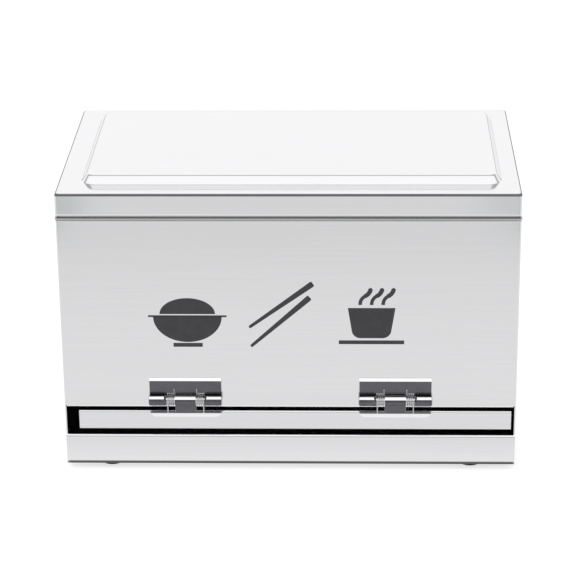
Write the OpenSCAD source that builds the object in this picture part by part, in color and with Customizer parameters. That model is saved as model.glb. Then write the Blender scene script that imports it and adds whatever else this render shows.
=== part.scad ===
// Chopstick holder in stainless-steel sheet: a box with a flip lid on top and a sprung flap along the front.
// Chopsticks lie across the width, roll down a sloping floor and wait behind the lip at the front.
// Front faces -Y, top is +Z, the origin is under the middle of the holder at the bottom of its feet.

/* [Body] */
// Width of the box across the front
body_w = 280; // [250:1:320]
// Depth of the box from its front face to its back face
body_d = 164; // [140:1:200]
// Height of the panels from the underside of the base sheet to their top edge
body_h = 163.4; // [130:0.1:200]
// Thickness of the body sheet
sheet_t = 0.8; // [0.6:0.1:1.2]
// Outer radius of the upright corner bends
corner_r = 1.5; // [1.3:0.1:3]
// Outer radius of the bend between base and lip
base_bend_r = 3; // [1.5:0.1:5]
// Height of the fold along the lower edge of the front panel
hem_h = 8; // [4:0.5:12]
// Height of the flange at the back of the base
base_flange_h = 8; // [5:0.5:12]

/* [Front opening] */
// Height of the lip from the underside of the base sheet
lip_h = 21; // [16:0.5:28]
// Outer radius of the rolled top of the lip
lip_roll_r = 1.8; // [1.5:0.1:2.5]
// How far the rolled top turns down behind the lip
lip_return = 4; // [2:0.5:8]
// Height of the opening between the lip and the front panel
opening_h = 18.9; // [17:0.1:26]

/* [Sloping floor] */
// Height of the trough floor above the underside of the base sheet
trough_h = 7; // [6:0.5:12]
// Depth of the level trough behind the lip
trough_d = 38; // [25:1:60]
// Height of the back of the slope above the underside of the base sheet
slope_back_h = 66; // [50:1:90]
// Height of the flange that joins the slope to the back panel
slope_flange_h = 12; // [8:1:20]
// Gap between the sloping floor and each side panel
floor_side_gap = 0.3; // [0.1:0.1:1]

/* [Rim collar] */
// Thickness of the collar sheet
collar_t = 0.8; // [0.6:0.1:1.2]
// Height of the groove between the panels and the bead
groove_h = 0.6; // [0.4:0.1:1.2]
// Depth of that groove
groove_in = 0.5; // [0.3:0.1:0.55]
// Height of the rounded bead round the rim
bead_h = 1.2; // [1.1:0.1:2]
// How far the bead stands out from the front and side panels
bead_out = 0.5; // [0.2:0.1:1]
// Gap between the collar and the front skirt of the lid
collar_front_gap = 1; // [0.9:0.1:2]
// Gap between the collar and each side skirt of the lid
collar_side_gap = 0.6; // [0.4:0.1:2]
// Gap between the collar and the back skirt of the lid
collar_back_gap = 1.5; // [1.3:0.1:3]
// Gap between the top of the collar and the lid above it
collar_top_gap = 0.3; // [0.2:0.1:1]

/* [Lid] */
// Height of the lid from the lower edge of its skirt to its margin
lid_h = 14.1; // [12.5:0.1:18]
// Thickness of the lid sheet
lid_t = 0.8; // [0.6:0.1:1.2]
// Outer radius of the bends round the lid
lid_bend_r = 1.5; // [1.3:0.1:3]
// Height of the seam between the bead and the skirt
seam_h = 1.2; // [0.8:0.1:2]
// Rise of the pressed panel above the margin
press_rise = 4.8; // [3:0.1:6]
// Level distance over which the side of the pressed panel slopes
press_run = 3.3; // [2.5:0.1:5]
// Radius of the pressed panel's corners at its foot
press_corner_r = 9; // [7:0.5:14]
// Radius of the pressed panel's upper edge
press_shoulder_r = 1.4; // [0.8:0.1:1.8]
// Width of the margin at the front
press_front = 17; // [14:0.5:24]
// Width of the margin at the back
press_back = 15; // [12:0.5:24]
// Width of the margin at the left
press_left = 14; // [10:0.5:20]
// Width of the margin at the right
press_right = 11; // [8:0.5:20]

/* [Flap] */
// Thickness of the flap sheet
flap_t = 0.8; // [0.6:0.1:1.2]
// Slot between the lip and the flap
flap_gap_below = 3.8; // [3.4:0.1:5]
// Gap between the flap and the front panel
flap_gap_above = 2.3; // [1.5:0.1:3]
// Gap between the flap and the left side panel
flap_gap_left = 8; // [1:0.5:12]
// Gap between the flap and the right side panel
flap_gap_right = 2; // [1:0.5:12]
// Depth of the flap's turned-back edges
flap_flange_d = 5; // [3:0.5:6]
// Outer radius of the bends along those edges
flap_bend_r = 1.2; // [1:0.1:2]

/* [Flap hinges] */
// Distance of the left flap hinge from the middle of the front
left_flap_hinge_x = 64.4; // [45:0.1:95]
// Distance of the right flap hinge from the middle of the front
right_flap_hinge_x = 65.4; // [45:0.1:95]
// Width of a flap hinge
flap_hinge_w = 44.4; // [36:0.1:60]
// Height of the flap's axis above the lower edge of the front panel
flap_axis_rise = 6.3; // [4:0.1:6.8]
// Thickness of the upper leaf
flap_leaf_t = 1.15; // [1:0.05:1.5]
// Diameter of the flap hinge's pin
flap_pin_d = 4.2; // [3.6:0.1:5]
// Width of the middle knuckle
flap_mid_w = 13; // [10:0.5:18]
// Reach of the upper leaf above the axis
upper_leaf_reach = 13.9; // [10:0.1:20]
// Height of the bevel along the top of the upper leaf
upper_bevel_h = 2; // [1:0.1:4]
// Reach of the lower leaf below the axis
lower_leaf_reach = 12.8; // [12:0.1:15]
// Height of the bevel along the bottom of the lower leaf
lower_bevel_h = 3; // [1:0.1:3.8]
// Size of the clipped lower corners of the lower leaf
leaf_clip = 3; // [1:0.1:4]
// Thickness left at the end of a bevel
bevel_edge_t = 0.2; // [0.15:0.05:0.6]
// Running gap behind the lower leaf, where it rests on the front panel's edge
flap_stop_gap = 0.1; // [0.1:0.05:0.3]

/* [Flap springs] */
// Diameter of the spring wire
spring_wire_d = 0.8; // [0.7:0.05:0.8]
// Whole turns in one spring
spring_turns = 3; // [2:1:4]
// Clear gap between neighbouring turns
spring_turn_gap = 0.45; // [0.45:0.05:0.6]
// Reach of the spring's upper leg above the axis
spring_leg_up = 9; // [6:0.5:11]
// Reach of the spring's lower leg below the axis
spring_leg_down = 9.4; // [8.6:0.1:9.6]

/* [Lid hinges] */
// Distance of each lid hinge's middle from the side of the box
lid_hinge_in = 60; // [40:1:90]
// Width of a lid hinge
lid_hinge_w = 40; // [30:1:50]
// Thickness of the lid hinge leaves
lid_leaf_t = 1; // [0.8:0.1:1.2]
// Diameter of the lid hinge's pin
lid_pin_d = 3; // [2.5:0.1:4]
// Width of the lid leaf's knuckle
lid_mid_w = 13.4; // [11:0.2:16]
// Reach of the body leaf below the axis
body_leaf_reach = 20; // [16:0.5:28]
// Reach of the lid leaf above the axis
lid_leaf_reach = 12; // [10:0.1:12.5]
// Distance of the body leaf's rivets below the axis
body_rivet_drop = 14; // [11:0.5:16]
// Distance of the lid leaf's rivets above the axis
lid_rivet_rise = 7.4; // [6.5:0.1:8]
// Distance between the two rivets of one leaf
rivet_spacing = 26; // [20:1:34]
// Opening angle of the lid, where its heel meets the body leaf
lid_open_deg = 110; // [95:5:120]
// Width of the stop heel on the lid leaf's knuckle
heel_w = 10; // [6:1:11]
// Reach of the stop heel from the axis
heel_reach = 5.2; // [4.6:0.1:6]
// Thickness of the stop heel
heel_t = 1.6; // [1.2:0.1:1.6]

/* [Fasteners] */
// Diameter of a rivet's shank
rivet_d = 3; // [2.4:0.1:3.2]
// Diameter of a rivet's outer head
rivet_head_d = 5.6; // [4.5:0.1:6]
// Height of a rivet's outer head
rivet_head_h = 1.2; // [0.8:0.1:1.6]
// Diameter of a rivet's closed inner end
rivet_tail_d = 4.6; // [4:0.1:5]
// Height of a rivet's closed inner end
rivet_tail_h = 0.8; // [0.5:0.1:0.9]
// Radial gap round a pin, rivet or screw in its hole
hole_gap = 0.05; // [0.03:0.01:0.08]

/* [Feet] */
// Height of the feet below the base sheet
foot_h = 3; // [2.8:0.1:6]
// Largest diameter of a foot
foot_d = 15.5; // [13:0.5:22]
// Bevel round the bottom of a foot
foot_bevel = 0.7; // [0.3:0.1:1]
// Distance of the feet's centres from the sides
foot_side_in = 27.2; // [18:0.1:50]
// Distance of the feet's centres from the front and back faces
foot_end_in = 13.4; // [12:0.1:30]
// Diameter of the foot screws
screw_d = 3; // [2.5:0.1:3.5]
// Diameter of a foot screw's head
screw_head_d = 5.6; // [5:0.1:6]
// Height of a foot screw's head
screw_head_h = 1.5; // [1.2:0.1:1.6]
// Depth of a screw head below the bottom of its foot
screw_sink = 0.4; // [0.3:0.1:0.5]
// Width of a foot nut across its flats
nut_af = 5.5; // [5.5:0.1:6.5]
// Height of a foot nut
nut_h = 2.4; // [1.8:0.1:2.4]

/* [Hidden] */
$fn = 48;

steel = "#d9dad8";
dark_steel = "#8d8e92";
spring_steel = "#b9babd";
rubber = "#26262a";

// Extra length of a cutting shape past the face that it cuts
cut = 1;
// Side gap between neighbouring knuckles of a lid hinge
knuckle_side_gap = 0.2;
// Gap between a turning knuckle and the edge of the other leaf
knuckle_gap = 0.2;
// Gap between a pin's head and the knuckle beside it
pin_head_gap = 0.05;
// How far a flap pin's head stands out from the pin, and its thickness
flap_pin_head_out = 0.5;
flap_pin_head_t = 0.4;
// How far a lid pin's head stands out from the pin, and its thickness
lid_pin_head_out = 0.7;
lid_pin_head_t = 0.6;

// Flap hinge: the leaf's inner face lies on the panel, and its knuckle is rolled round the pin
flap_bore_r = flap_pin_d / 2 + hole_gap;
flap_knuckle_r = flap_bore_r + flap_leaf_t;
flap_turning_r = flap_knuckle_r - flap_stop_gap;
flap_notch = sqrt(pow(flap_knuckle_r + knuckle_gap, 2) - pow(flap_bore_r, 2));
// How far below the flap's top edge the lower leaf starts
leaf_edge_drop = 0.2;

// Springs: points in one turn, sides of the wire, and the gaps to what lies round them
spring_rings = 8;
spring_sides = 6;
spring_pitch = spring_wire_d + spring_turn_gap;
spring_side_gap = 0.15;
spring_outer_gap = 0.1;
spring_leg_gap = 0.05;
spring_gap_w = (spring_turns + 2 / spring_rings) * spring_pitch + spring_wire_d + 2 * spring_side_gap;
spring_r = flap_knuckle_r - spring_wire_d / 2 - spring_outer_gap;
spring_leg_out = flap_bore_r - spring_wire_d / 2 - spring_leg_gap;

// Lid hinge: the gap between its knuckles and the back panel, and between its open heel and the body leaf
lid_knuckle_back_gap = 0.1;
heel_gap = 0.05;
lid_bore_r = lid_pin_d / 2 + hole_gap;
lid_knuckle_r = lid_bore_r + lid_leaf_t;
lid_axis_out = lid_knuckle_r + lid_knuckle_back_gap;
lid_hinge_x = body_w / 2 - lid_hinge_in;
lid_leaf_face = lid_axis_out - lid_leaf_t;
lid_notch = sqrt(pow(lid_knuckle_r + knuckle_gap, 2) - pow(lid_leaf_face, 2));
heel_turn = lid_open_deg - 90;
heel_face = lid_leaf_face - heel_gap;

// Places along the depth: the whole holder, hinges included, is centred on Y = 0
front_reach = 2 * flap_knuckle_r;
back_reach = lid_axis_out + heel_reach * cos(heel_turn) + heel_face * sin(heel_turn);
front_y = front_reach - (body_d + front_reach + back_reach) / 2;
back_y = front_y + body_d;
flap_axis_y = front_y - flap_knuckle_r;
lid_axis_y = back_y + lid_axis_out;

// Places along the height
base_z = foot_h;
lip_top_z = base_z + lip_h;
panel_bottom_z = lip_top_z + opening_h;
body_top_z = base_z + body_h;
bead_z = body_top_z + groove_h;
skirt_z = bead_z + bead_h + seam_h;
margin_z = skirt_z + lid_h;
flap_axis_z = panel_bottom_z + flap_axis_rise;
lid_axis_z = skirt_z - seam_h / 2;
flap_bottom_z = lip_top_z + flap_gap_below;
flap_h = opening_h - flap_gap_below - flap_gap_above;
lower_leaf_top = flap_axis_rise + flap_gap_above + leaf_edge_drop;

inner_w = body_w - 2 * sheet_t;
flap_x0 = -inner_w / 2 + flap_gap_left;
flap_x1 = inner_w / 2 - flap_gap_right;
foot_x = body_w / 2 - foot_side_in;
foot_y0 = front_y + foot_end_in;
foot_y1 = back_y - foot_end_in;
screw_recess = screw_sink + screw_head_h;
// Radial gap round a screw's head, how far its tip stands out of the nut, and the size of its cross slot
screw_head_gap = 0.3;
screw_tip = 0.4;
screw_slot_w = 0.8;
screw_slot_l = 3.4;

// A side profile, drawn as depth and height, pulled out along the width
module along_width(length, middle = 0) {
    translate([middle - length / 2, 0, 0]) rotate([90, 0, 90]) linear_extrude(length) children();
}

module box(x0, y0, z0, x1, y1, z1) {
    translate([x0, y0, z0]) cube([x1 - x0, y1 - y0, z1 - z0]);
}

module rectangle(x0, y0, x1, y1) {
    translate([x0, y0]) square([x1 - x0, y1 - y0]);
}

module rounded_rectangle(x0, y0, x1, y1, r) {
    rectangle(x0 + r, y0, x1 - r, y1);
    rectangle(x0, y0 + r, x1, y1 - r);
    for (x = [x0 + r, x1 - r], y = [y0 + r, y1 - r]) translate([x, y]) circle(r);
}

// The body's outline seen from above, moved in by a distance
module body_outline(inset) {
    rounded_rectangle(-body_w / 2 + inset, front_y + inset, body_w / 2 - inset, back_y - inset,
                      corner_r - inset);
}

// The panels' sheet seen from above
module wall_plan() {
    difference() {
        body_outline(0);
        body_outline(sheet_t);
    }
}

// Front panel: face, corner bends and the fold along its lower edge
module front_panel() {
    color(steel) union() {
        translate([0, 0, panel_bottom_z]) linear_extrude(body_top_z - panel_bottom_z) intersection() {
            wall_plan();
            union() {
                rectangle(-body_w / 2, front_y, -body_w / 2 + corner_r, front_y + corner_r);
                rectangle(body_w / 2 - corner_r, front_y, body_w / 2, front_y + corner_r);
            }
        }
        along_width(body_w - 2 * corner_r) {
            rectangle(front_y, panel_bottom_z + sheet_t, front_y + sheet_t, body_top_z);
            rectangle(front_y + sheet_t, panel_bottom_z + sheet_t,
                      front_y + 2 * sheet_t, panel_bottom_z + hem_h);
            translate([front_y + sheet_t, panel_bottom_z + sheet_t]) circle(sheet_t);
        }
    }
}

// Side panel: upright sheet with a cheek that closes the end of the lip
module side_panel(side) {
    color(steel) along_width(sheet_t, side * (body_w - sheet_t) / 2) difference() {
        union() {
            rectangle(front_y + corner_r, base_z, back_y - corner_r, body_top_z);
            rectangle(front_y, base_z, front_y + 2 * lip_roll_r, lip_top_z - lip_roll_r);
            translate([front_y + lip_roll_r, lip_top_z - lip_roll_r]) circle(lip_roll_r);
        }
        difference() {
            rectangle(front_y - cut, base_z - cut, front_y + base_bend_r, base_z + base_bend_r);
            translate([front_y + base_bend_r, base_z + base_bend_r]) circle(base_bend_r);
        }
    }
}

// Back panel with its corner bends and the holes for the hinge rivets
module back_panel() {
    color(steel) difference() {
        translate([0, 0, base_z]) linear_extrude(body_h) intersection() {
            wall_plan();
            rectangle(-body_w / 2, back_y - corner_r, body_w / 2, back_y);
        }
        for (side = [-1, 1]) body_rivet_places(side) rivet_hole();
    }
}

// One bent sheet: base, front lip with a rolled top, and a flange against the back panel
module bottom_pan() {
    color(steel) difference() {
        along_width(inner_w) {
            rectangle(front_y + base_bend_r, base_z, back_y - sheet_t, base_z + sheet_t);
            rectangle(back_y - 2 * sheet_t, base_z, back_y - sheet_t, base_z + base_flange_h);
            rectangle(front_y, base_z + base_bend_r, front_y + sheet_t, lip_top_z - lip_roll_r);
            rectangle(front_y + 2 * lip_roll_r - sheet_t, lip_top_z - lip_roll_r - lip_return,
                      front_y + 2 * lip_roll_r, lip_top_z - lip_roll_r);
            translate([front_y + base_bend_r, base_z + base_bend_r]) intersection() {
                difference() {
                    circle(base_bend_r);
                    circle(base_bend_r - sheet_t);
                }
                rectangle(-base_bend_r, -base_bend_r, 0, 0);
            }
            translate([front_y + lip_roll_r, lip_top_z - lip_roll_r]) intersection() {
                difference() {
                    circle(lip_roll_r);
                    circle(lip_roll_r - sheet_t);
                }
                rectangle(-lip_roll_r, 0, lip_roll_r, lip_roll_r);
            }
        }
        foot_places() translate([0, 0, -cut]) cylinder(h = sheet_t + 2 * cut, r = screw_d / 2 + hole_gap);
    }
}

// Upper surface of the sloping floor, from its flange on the back panel to the front of the trough
floor_front_y = front_y + 2 * lip_roll_r + floor_side_gap;
floor_top = [
    [back_y - 2 * sheet_t, base_z + slope_back_h + slope_flange_h],
    [back_y - 2 * sheet_t, base_z + slope_back_h],
    [floor_front_y + trough_d, base_z + trough_h],
    [floor_front_y, base_z + trough_h]
];

// Direction from the upper surface into the sheet, for the stretch from a to b
function into_sheet(a, b) = [a[1] - b[1], b[0] - a[0]] / norm(b - a);
// Corner of the lower surface where stretches with directions m and n meet
function mitre(m, n) = (m + n) * sheet_t / (1 + m * n);

module slide_floor() {
    last = len(floor_top) - 1;
    inward = [for (i = [0 : last - 1]) into_sheet(floor_top[i], floor_top[i + 1])];
    floor_under = [for (i = [last : -1 : 0])
        floor_top[i] + mitre(inward[max(i - 1, 0)], inward[min(i, last - 1)])];
    color(steel) along_width(inner_w - 2 * floor_side_gap) {
        polygon(concat(floor_top, floor_under));
        rectangle(floor_front_y, base_z + sheet_t, floor_front_y + sheet_t, base_z + trough_h);
    }
}

// Radius of the collar at its corners
collar_corner_r = 2.8;
// The collar's outline seen from above, moved in by a distance
module collar_outline(inset) {
    rounded_rectangle(-body_w / 2 + lid_t + collar_side_gap + inset,
                      front_y + lid_t + collar_front_gap + inset,
                      body_w / 2 - lid_t - collar_side_gap - inset,
                      back_y - lid_t - collar_back_gap - inset,
                      collar_corner_r - inset);
}

// Slab with upright rounded corners and a fully rounded edge
module round_edged_slab(x0, y0, x1, y1, r, h) {
    half = h / 2;
    box(x0 + half, y0 + r, 0, x1 - half, y1 - r, h);
    box(x0 + r, y0 + half, 0, x1 - r, y1 - half, h);
    for (y = [y0 + half, y1 - half]) {
        translate([x0 + r, y, half]) rotate([0, 90, 0]) cylinder(h = x1 - x0 - 2 * r, r = half);
    }
    for (x = [x0 + half, x1 - half]) {
        translate([x, y0 + r, half]) rotate([-90, 0, 0]) cylinder(h = y1 - y0 - 2 * r, r = half);
    }
    for (x = [x0 + r, x1 - r], y = [y0 + r, y1 - r]) translate([x, y, 0]) {
        cylinder(h = h, r = r - half);
        translate([0, 0, half]) rotate_extrude() translate([r - half, 0]) circle(half);
    }
}

// Rim collar: shoulder on the panels' top edges, rounded bead, and the collar that the lid closes over
module rim_collar() {
    collar_top_z = margin_z - lid_t - collar_top_gap;
    color(steel) difference() {
        union() {
            translate([0, 0, body_top_z]) linear_extrude(groove_h) body_outline(groove_in);
            translate([0, 0, bead_z])
                round_edged_slab(-body_w / 2 - bead_out, front_y - bead_out, body_w / 2 + bead_out, back_y,
                                 corner_r + bead_out, bead_h);
            translate([0, 0, body_top_z]) linear_extrude(collar_top_z - body_top_z) collar_outline(0);
        }
        translate([0, 0, body_top_z - cut])
            linear_extrude(collar_top_z - body_top_z + 2 * cut) collar_outline(collar_t);
    }
}

// Box with rounded upright and upper edges and a flat, open underside
module round_topped_box(inset) {
    r = lid_bend_r - inset;
    x1 = body_w / 2 - inset;
    y0 = front_y + inset;
    y1 = back_y - inset;
    z1 = margin_z - inset;
    z0 = skirt_z - (inset > 0 ? cut : 0);
    box(-x1 + r, y0 + r, z0, x1 - r, y1 - r, z1);
    translate([0, 0, z0]) linear_extrude(z1 - r - z0) rounded_rectangle(-x1, y0, x1, y1, r);
    for (y = [y0 + r, y1 - r]) {
        translate([-x1 + r, y, z1 - r]) rotate([0, 90, 0]) cylinder(h = 2 * (x1 - r), r = r);
    }
    for (x = [-x1 + r, x1 - r]) {
        translate([x, y0 + r, z1 - r]) rotate([-90, 0, 0]) cylinder(h = y1 - y0 - 2 * r, r = r);
        for (y = [y0 + r, y1 - r]) translate([x, y, z1 - r]) sphere(r);
    }
}

// Side of the pressed panel as distance from the corner's centre and height, from its foot to its top
press_slope = atan(press_rise / press_run);
press_shoulder_steps = 4;
press_side = concat(
    [[press_corner_r, 0]],
    [for (i = [0 : press_shoulder_steps])
        let (a = 90 - press_slope * (1 - i / press_shoulder_steps))
        [press_corner_r - press_run - press_shoulder_r * tan(press_slope / 2) + press_shoulder_r * cos(a),
         press_rise - press_shoulder_r + press_shoulder_r * sin(a)]]
);

// Cross-section of the pressed panel between two positions
module press_section(a0, a1) {
    last = len(press_side) - 1;
    polygon(concat(
        [for (p = press_side) [a0 + press_corner_r - p[0], p[1]]],
        [for (i = [last : -1 : 0]) [a1 - press_corner_r + press_side[i][0], press_side[i][1]]]
    ));
}

module pressed_panel() {
    x0 = -body_w / 2 + press_left;
    x1 = body_w / 2 - press_right;
    y0 = front_y + press_front;
    y1 = back_y - press_back;
    r = press_corner_r;
    along_width(x1 - x0 - 2 * r, (x0 + x1) / 2) press_section(y0, y1);
    translate([0, y1 - r, 0]) rotate([90, 0, 0]) linear_extrude(y1 - y0 - 2 * r) press_section(x0, x1);
    for (x = [x0 + r, x1 - r], y = [y0 + r, y1 - r]) {
        translate([x, y, 0]) rotate_extrude() polygon(concat([[0, 0]], press_side, [[0, press_rise]]));
    }
}

// Lid: one drawn sheet with a pressed panel, and the holes for the hinge rivets in its back skirt
module lid_shell() {
    color(steel) difference() {
        union() {
            round_topped_box(0);
            translate([0, 0, margin_z]) pressed_panel();
        }
        round_topped_box(lid_t);
        translate([0, 0, margin_z - lid_t]) pressed_panel();
        for (side = [-1, 1]) lid_rivet_places(side) rivet_hole();
    }
}

// Side profile with its two front corners rounded
module front_rounded(y0, z0, y1, z1, r) {
    rectangle(y0, z0 + r, y1, z1 - r);
    rectangle(y0 + r, z0, y1, z1);
    for (z = [z0 + r, z1 - r]) translate([y0 + r, z]) circle(r);
}

// Flap: a narrow channel with its upper and lower edges turned back
module flap_panel() {
    face_y = flap_axis_y + flap_turning_r;
    back = face_y + flap_flange_d;
    top = flap_bottom_z + flap_h;
    color(steel) along_width(flap_x1 - flap_x0, (flap_x0 + flap_x1) / 2) difference() {
        front_rounded(face_y, flap_bottom_z, back, top, flap_bend_r);
        front_rounded(face_y + flap_t, flap_bottom_z + flap_t, back + cut, top - flap_t,
                      flap_bend_r - flap_t);
    }
}

// Tube round an axis along X, from x0 over a length
module knuckle(x0, length, outer_r, bore_r) {
    translate([x0, 0, 0]) rotate([0, 90, 0]) difference() {
        cylinder(h = length, r = outer_r);
        translate([0, 0, -cut]) cylinder(h = length + 2 * cut, r = bore_r);
    }
}

// Moves a shape from the middle of a flap hinge's axis to its place
module at_flap_hinge(side) {
    x = side < 0 ? -left_flap_hinge_x : right_flap_hinge_x;
    translate([x, flap_axis_y, flap_axis_z]) children();
}

// Upper leaf: bevelled plate on the front panel with a knuckle at each end
module flap_upper_leaf(side) {
    half = flap_hinge_w / 2;
    window = flap_mid_w / 2 + spring_gap_w;
    color(dark_steel) at_flap_hinge(side) union() {
        along_width(flap_hinge_w) polygon([
            [flap_bore_r, flap_notch],
            [flap_bore_r, upper_leaf_reach - upper_bevel_h],
            [flap_knuckle_r - bevel_edge_t, upper_leaf_reach],
            [flap_knuckle_r, upper_leaf_reach],
            [flap_knuckle_r, flap_notch]
        ]);
        for (x0 = [-half, window]) {
            knuckle(x0, half - window, flap_knuckle_r, flap_bore_r);
            box(x0, flap_bore_r, 0, x0 + half - window, flap_knuckle_r, flap_notch);
        }
    }
}

// Lower leaf: bevelled plate on the flap, with clipped corners and one knuckle in the middle
module flap_lower_leaf(side) {
    half = flap_hinge_w / 2;
    color(dark_steel) at_flap_hinge(side) union() {
        intersection() {
            along_width(flap_hinge_w) polygon([
                [flap_bore_r, -lower_leaf_top],
                [flap_bore_r, -lower_leaf_reach + lower_bevel_h],
                [flap_turning_r - bevel_edge_t, -lower_leaf_reach],
                [flap_turning_r, -lower_leaf_reach],
                [flap_turning_r, -lower_leaf_top]
            ]);
            rotate([90, 0, 0]) translate([0, 0, -flap_knuckle_r - cut]) linear_extrude(flap_knuckle_r + cut)
                polygon([
                    [-half, 0], [half, 0],
                    [half, -lower_leaf_reach + leaf_clip], [half - leaf_clip, -lower_leaf_reach],
                    [-half + leaf_clip, -lower_leaf_reach], [-half, -lower_leaf_reach + leaf_clip]
                ]);
        }
        knuckle(-flap_mid_w / 2, flap_mid_w, flap_turning_r, flap_bore_r);
        box(-flap_mid_w / 2, flap_bore_r, -lower_leaf_top, flap_mid_w / 2, flap_turning_r, 0);
    }
}

// Pin along X with a flattened head at each end
module hinge_pin(width, pin_d, head_r, head_t) {
    rotate([0, 90, 0]) {
        cylinder(h = width + 2 * pin_head_gap, r = pin_d / 2, center = true);
        for (end = [-1, 1]) {
            translate([0, 0, end * (width / 2 + pin_head_gap + head_t / 2)])
                cylinder(h = head_t, r = head_r, center = true);
        }
    }
}

module flap_pin(side) {
    color(spring_steel) at_flap_hinge(side)
        hinge_pin(flap_hinge_w, flap_pin_d, flap_pin_d / 2 + flap_pin_head_out, flap_pin_head_t);
}

// Centre line of a spring on its axis: upper leg, turns round the pin, lower leg.
// The legs leave the turns an eighth of a turn above and below the back of the pin.
spring_lead_z = spring_r * sqrt(2) - spring_leg_out;
spring_steps = spring_rings * spring_turns + 2;
spring_line = concat(
    [[0, spring_leg_out, spring_leg_up],
     [0, spring_leg_out, spring_leg_up - spring_wire_d],
     [0, spring_leg_out, spring_lead_z]],
    [for (i = [0 : spring_steps])
        let (a = 45 - i * 360 / spring_rings)
        [i * spring_pitch / spring_rings, spring_r * cos(a), spring_r * sin(a)]],
    [for (z = [-spring_lead_z, spring_wire_d - spring_leg_down, -spring_leg_down])
        [spring_steps * spring_pitch / spring_rings, spring_leg_out, z]]
);

function unit(v) = v / norm(v);
// Direction of a line of points at point i
function heading(line, i) = unit(line[min(i + 1, len(line) - 1)] - line[max(i - 1, 0)]);

// Round wire along a line of points that never runs along X: a ring of points at each, joined by triangles
module wire(line, d, sides) {
    last = len(line) - 1;
    points = [for (i = [0 : last])
        let (t = heading(line, i), u = unit(cross(t, [1, 0, 0])), v = cross(t, u))
        for (k = [0 : sides - 1])
            let (a = k * 360 / sides)
            line[i] + d / 2 * (cos(a) * u + sin(a) * v)];
    faces = concat(
        [for (i = [0 : last - 1], k = [0 : sides - 1])
            let (a = i * sides + k, b = i * sides + (k + 1) % sides)
            each [[a, b, b + sides], [a, b + sides, a + sides]]],
        [for (k = [1 : sides - 2]) [0, k + 1, k]],
        [for (k = [1 : sides - 2]) [last * sides, last * sides + k, last * sides + k + 1]]
    );
    polyhedron(points = points, faces = faces);
}

// Least clear gap between stretches of the wire that are more than half a turn apart
spring_apart = spring_rings / 2 + 1;
spring_end = len(spring_line) - 1;
spring_least_gap = min([for (i = [0 : spring_end], j = [i + spring_apart : 1 : spring_end])
    norm(spring_line[i] - spring_line[j])]) - spring_wire_d;
echo(str("Least gap of a flap spring to itself: ", spring_least_gap, " mm"));

// Torsion spring in the gap beside the middle knuckle; hand is 1 for the right gap and -1 for the left
module flap_spring(side, hand) {
    start = flap_mid_w / 2 + spring_side_gap + spring_wire_d / 2;
    color(spring_steel) at_flap_hinge(side) {
        if (hand > 0) translate([start, 0, 0]) wire(spring_line, spring_wire_d, spring_sides);
        else mirror([1, 0, 0]) translate([start, 0, 0]) wire(spring_line, spring_wire_d, spring_sides);
    }
}

module at_lid_hinge(side) {
    translate([side * lid_hinge_x, lid_axis_y, lid_axis_z]) children();
}

module body_rivet_places(side) {
    at_lid_hinge(side) for (x = [-rivet_spacing / 2, rivet_spacing / 2])
        translate([x, -lid_axis_out, -body_rivet_drop]) children();
}

module lid_rivet_places(side) {
    at_lid_hinge(side) for (x = [-rivet_spacing / 2, rivet_spacing / 2])
        translate([x, -lid_axis_out, lid_rivet_rise]) children();
}

// Hole for a rivet along Y, cut right through from well outside
module rivet_hole() {
    translate([0, lid_leaf_t + cut, 0]) rotate([90, 0, 0])
        cylinder(h = lid_leaf_t + max(sheet_t, lid_t) + 2 * cut, r = rivet_d / 2 + hole_gap);
}

// Rivet along Y through a hinge leaf and a sheet whose outer face is at Y = 0
module rivet(sheet) {
    dome_r = (pow(rivet_head_d / 2, 2) + pow(rivet_head_h, 2)) / (2 * rivet_head_h);
    rotate([-90, 0, 0]) {
        translate([0, 0, -sheet]) cylinder(h = sheet + lid_leaf_t, r = rivet_d / 2);
        translate([0, 0, -sheet - rivet_tail_h]) cylinder(h = rivet_tail_h, r = rivet_tail_d / 2);
        translate([0, 0, lid_leaf_t]) intersection() {
            translate([0, 0, rivet_head_h - dome_r]) sphere(dome_r);
            cylinder(h = rivet_head_h + cut, r = rivet_head_d / 2 + cut);
        }
    }
}

// Body leaf: plate on the back panel with a knuckle at each end
module lid_hinge_body_leaf(side) {
    half = lid_hinge_w / 2;
    window = lid_mid_w / 2 + knuckle_side_gap;
    color(steel) difference() {
        at_lid_hinge(side) union() {
            box(-half, -lid_axis_out, -body_leaf_reach, half, -lid_leaf_face, -lid_notch);
            for (x0 = [-half, window]) {
                knuckle(x0, half - window, lid_knuckle_r, lid_bore_r);
                box(x0, -lid_axis_out, -lid_notch, x0 + half - window, -lid_leaf_face, 0);
            }
        }
        body_rivet_places(side) rivet_hole();
    }
}

// Lid leaf: plate on the back skirt with one knuckle in the middle, which carries the stop heel
module lid_hinge_lid_leaf(side) {
    half = lid_hinge_w / 2;
    color(steel) difference() {
        at_lid_hinge(side) {
            box(-half, -lid_axis_out, lid_notch, half, -lid_leaf_face, lid_leaf_reach);
            box(-lid_mid_w / 2, -lid_axis_out, 0, lid_mid_w / 2, -lid_leaf_face, lid_notch);
            difference() {
                union() {
                    rotate([0, 90, 0]) cylinder(h = lid_mid_w, r = lid_knuckle_r, center = true);
                    rotate([heel_turn, 0, 0])
                        box(-heel_w / 2, 0, -heel_face, heel_w / 2, heel_reach, heel_t - heel_face);
                }
                rotate([0, 90, 0]) cylinder(h = lid_mid_w + 2 * cut, r = lid_bore_r, center = true);
            }
        }
        lid_rivet_places(side) rivet_hole();
    }
}

module lid_hinge_pin(side) {
    color(spring_steel) at_lid_hinge(side)
        hinge_pin(lid_hinge_w, lid_pin_d, lid_pin_d / 2 + lid_pin_head_out, lid_pin_head_t);
}

module body_leaf_rivets() {
    color(spring_steel) for (side = [-1, 1]) body_rivet_places(side) rivet(sheet_t);
}

module lid_leaf_rivets() {
    color(spring_steel) for (side = [-1, 1]) lid_rivet_places(side) rivet(lid_t);
}

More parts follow.
